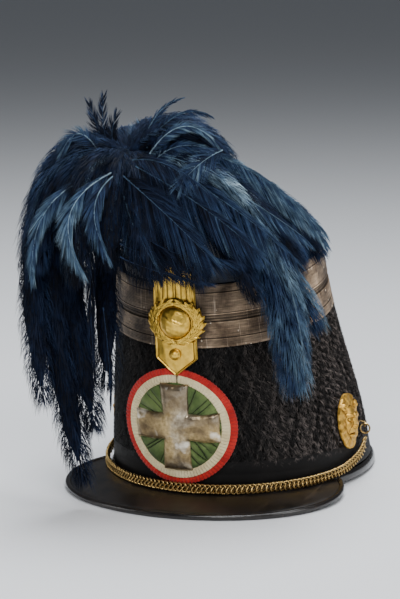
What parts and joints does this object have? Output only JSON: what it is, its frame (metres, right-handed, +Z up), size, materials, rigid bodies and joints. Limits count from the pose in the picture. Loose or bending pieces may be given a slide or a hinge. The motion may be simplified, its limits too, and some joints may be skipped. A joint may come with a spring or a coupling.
{
  "type": "shako with a feather plume",
  "caption": "Parade shako: a leaning fur-covered body with silver lace, a leather peak, a brass chin chain, a cockade and a drooping feather plume.",
  "frame": {"origin": "centre of the bounding box, on the floor that the hat rests on", "axes": "+Z up, the peak towards -Y, the wearer's left +X"},
  "size_m": [0.1942, 0.2946, 0.2666],
  "materials": {
    "fur_felt": "short black nap",
    "leather": "black, worn semi-gloss",
    "black_cloth": "matte",
    "silver_lace": "tarnished woven metal thread",
    "gilt": "gilt stamping, dented and worn",
    "chain_brass": "aged brass",
    "red_cloth": "matte ribbed",
    "cream_cloth": "matte pleated",
    "green_cloth": "soft pleated",
    "silvered_metal": "silvered, tarnished",
    "feather": "dyed blue feather"
  },
  "bodies": {
    "root": {"crown_wall": "fur_felt", "crown_top": "leather", "upper_lace": "silver_lace", "lower_lace": "silver_lace", "base_band": "black_cloth", "base_binding": "leather", "peak": "leather", "peak_rim": "leather", "plume_strap": "gilt", "laurel_medallion": "gilt", "small_boss": "gilt", "cockade_red_ring": "red_cloth", "cockade_cream_ring": "cream_cloth", "cockade_green_centre": "green_cloth", "cockade_cross": "silvered_metal", "chin_chain": "chain_brass", "chain_ring_left": "chain_brass", "chain_ring_right": "chain_brass", "chain_hook_left": "chain_brass", "chain_hook_right": "chain_brass", "lion_boss_left": "gilt", "lion_boss_right": "gilt", "plume_socket": "gilt", "plume_feathers": "feather"}
  },
  "joints": []
}
